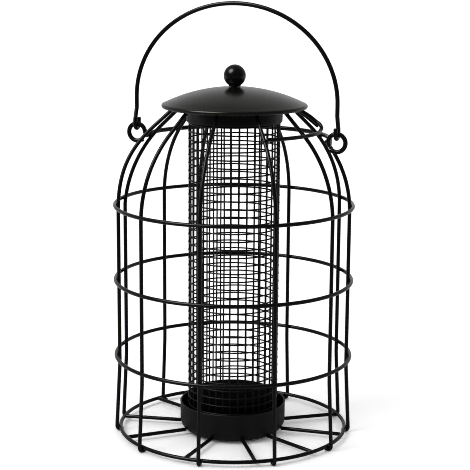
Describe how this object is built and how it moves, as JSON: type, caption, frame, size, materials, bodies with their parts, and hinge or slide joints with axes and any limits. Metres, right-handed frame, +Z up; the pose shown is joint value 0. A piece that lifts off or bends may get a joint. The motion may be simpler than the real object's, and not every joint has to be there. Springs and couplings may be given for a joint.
{
  "type": "caged peanut bird feeder",
  "caption": "Squirrel proof bird feeder: a mesh nut tube and cup tray inside a domed wire cage, with a lift-off domed lid with a ball knob and a swinging wire handle.",
  "frame": {"origin": "on the cage's axis, at the floor under its feet", "axes": "+Z up along the cage's axis, -Y towards the front, +X to the right as seen from the front"},
  "size_m": [0.17, 0.17, 0.3064],
  "materials": {
    "cage_wire": "satin powder coat",
    "handle_wire": "satin powder coat",
    "tube_mesh": "satin powder coat",
    "band_sheet": "fine textured powder coat",
    "tray_sheet": "satin powder coat",
    "lid_sheet": "matt powder coat",
    "knob_coat": "satin powder coat",
    "nut_coat": "matt powder coat"
  },
  "bodies": {
    "cage": {"upright_01": "cage_wire", "upright_02": "cage_wire", "upright_03": "cage_wire", "upright_04": "cage_wire", "upright_05": "cage_wire", "upright_06": "cage_wire", "upright_07": "cage_wire", "upright_08": "cage_wire", "upright_09": "cage_wire", "upright_10": "cage_wire", "upright_cut": "cage_wire", "hoop_1": "cage_wire", "hoop_2": "cage_wire", "hoop_3": "cage_wire", "base_ring": "cage_wire", "top_ring": "cage_wire", "spoke_01": "cage_wire", "spoke_02": "cage_wire", "spoke_03": "cage_wire", "spoke_04": "cage_wire", "spoke_05": "cage_wire", "spoke_06": "cage_wire", "spoke_07": "cage_wire", "spoke_08": "cage_wire", "spoke_09": "cage_wire", "spoke_10": "cage_wire", "shoulder_wire": "cage_wire", "brace_wire": "cage_wire", "upright_stub": "cage_wire", "tray": "tray_sheet", "floor_plate": "tray_sheet", "mesh_tube": "tube_mesh", "top_band": "band_sheet"},
    "lid": {"lid": "lid_sheet", "knob": "knob_coat", "lid_sleeve": "band_sheet", "lid_nut": "nut_coat"},
    "handle": {"handle": "handle_wire"}
  },
  "joints": [
    {"name": "lid_lift", "type": "slide", "parent": "cage", "child": "lid", "axis": [0, 0, 1], "range_m": [0, 0.035]},
    {"name": "handle_hinge", "type": "hinge", "parent": "cage", "child": "handle", "pos_m": [0, 0, 0.21893], "axis": [0.9367, -0.3502, 0], "range_deg": [-105, 105]}
  ]
}
